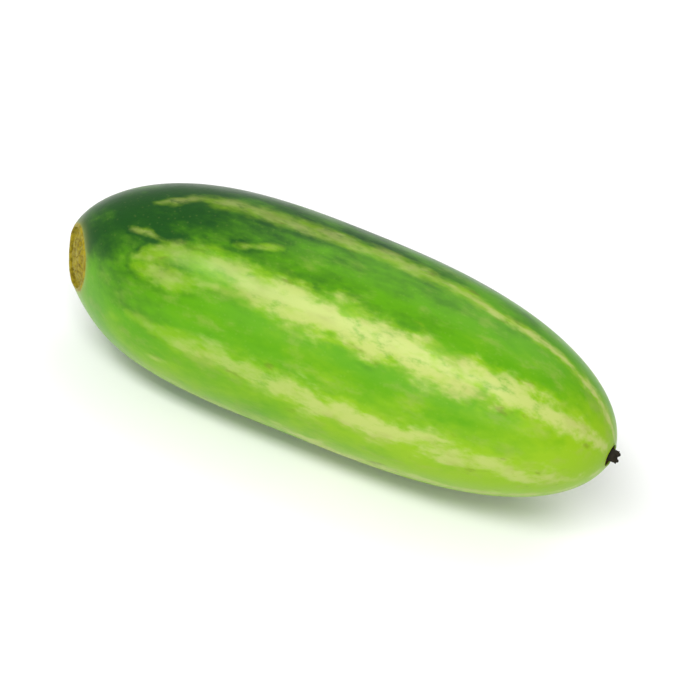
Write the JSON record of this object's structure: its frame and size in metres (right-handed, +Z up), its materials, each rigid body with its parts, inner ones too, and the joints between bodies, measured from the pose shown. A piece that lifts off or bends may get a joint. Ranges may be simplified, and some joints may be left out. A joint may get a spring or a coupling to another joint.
{
  "type": "ivy gourd",
  "caption": "Green ivy gourd with pale broken stripes, lying on its side, with a corky stalk scar and a dried flower at its tip.",
  "frame": {"origin": "middle of the bounding box, at the flat spot that the fruit lies on", "axes": "+X along the fruit from the stalk scar to the dried flower, +Z up; both ends bend a little towards -Y"},
  "size_m": [0.0584, 0.0212, 0.021],
  "materials": {
    "fruit_skin": "smooth green gourd skin with a soft waxy shine",
    "dried_flower": "dull, dark and withered"
  },
  "bodies": {
    "root": {"fruit": "fruit_skin", "dried_flower": "dried_flower"}
  },
  "joints": []
}
